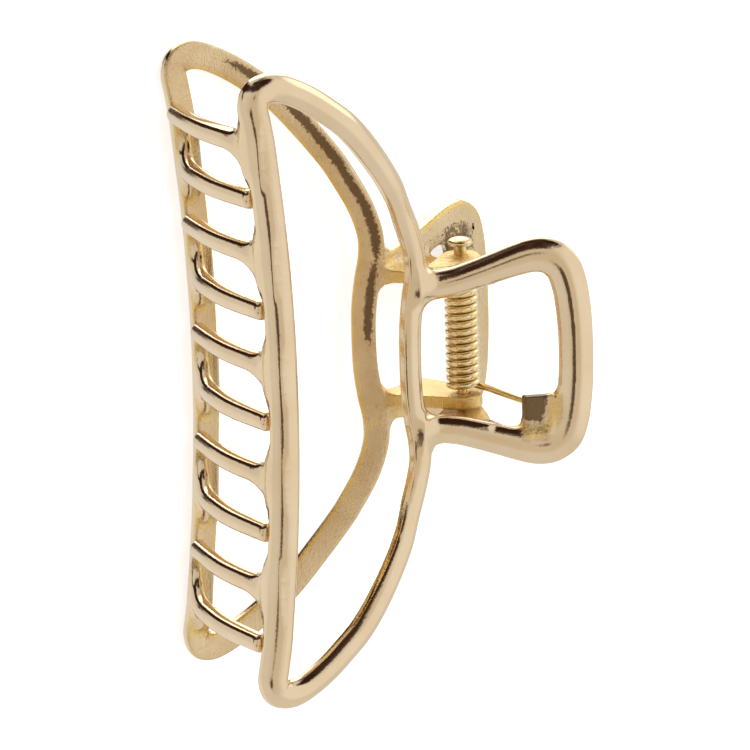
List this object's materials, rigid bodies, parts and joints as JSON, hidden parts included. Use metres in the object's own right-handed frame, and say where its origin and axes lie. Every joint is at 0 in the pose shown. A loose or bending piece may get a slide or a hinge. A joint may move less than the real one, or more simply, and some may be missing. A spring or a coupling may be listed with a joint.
{
  "type": "claw clip",
  "caption": "Open-frame metal claw clip: two bowed toothed halves on one hinge pin, closed by a coiled torsion spring between looped finger tabs.",
  "frame": {"origin": "centre of the bounding box at its base, the plane the clip lies on", "axes": "+X along the hinge pin towards its plain tail, +Y from the teeth to the finger tabs, +Z from the back half up to the front half"},
  "size_m": [0.1018, 0.0606, 0.0366],
  "materials": {
    "plated_frame": "polished pale gold plate over cast metal, slightly uneven on the inner and side walls",
    "plated_pin": "polished yellow gold plate",
    "plated_wire": "polished yellow gold plate on drawn wire"
  },
  "bodies": {
    "back_half": {"back_claw": "plated_frame", "hinge_pin": "plated_pin", "torsion_spring": "plated_wire"},
    "front_half": {"front_claw": "plated_frame"}
  },
  "joints": [
    {"name": "claw_hinge", "type": "hinge", "parent": "back_half", "child": "front_half", "pos_m": [0, 0.01549, 0.01763], "axis": [-1, 0, 0], "range_deg": [0, 70], "stiffness_Nm_per_rad": 0.12, "springref_deg": -34.38, "deforming": ["torsion_spring"]}
  ]
}
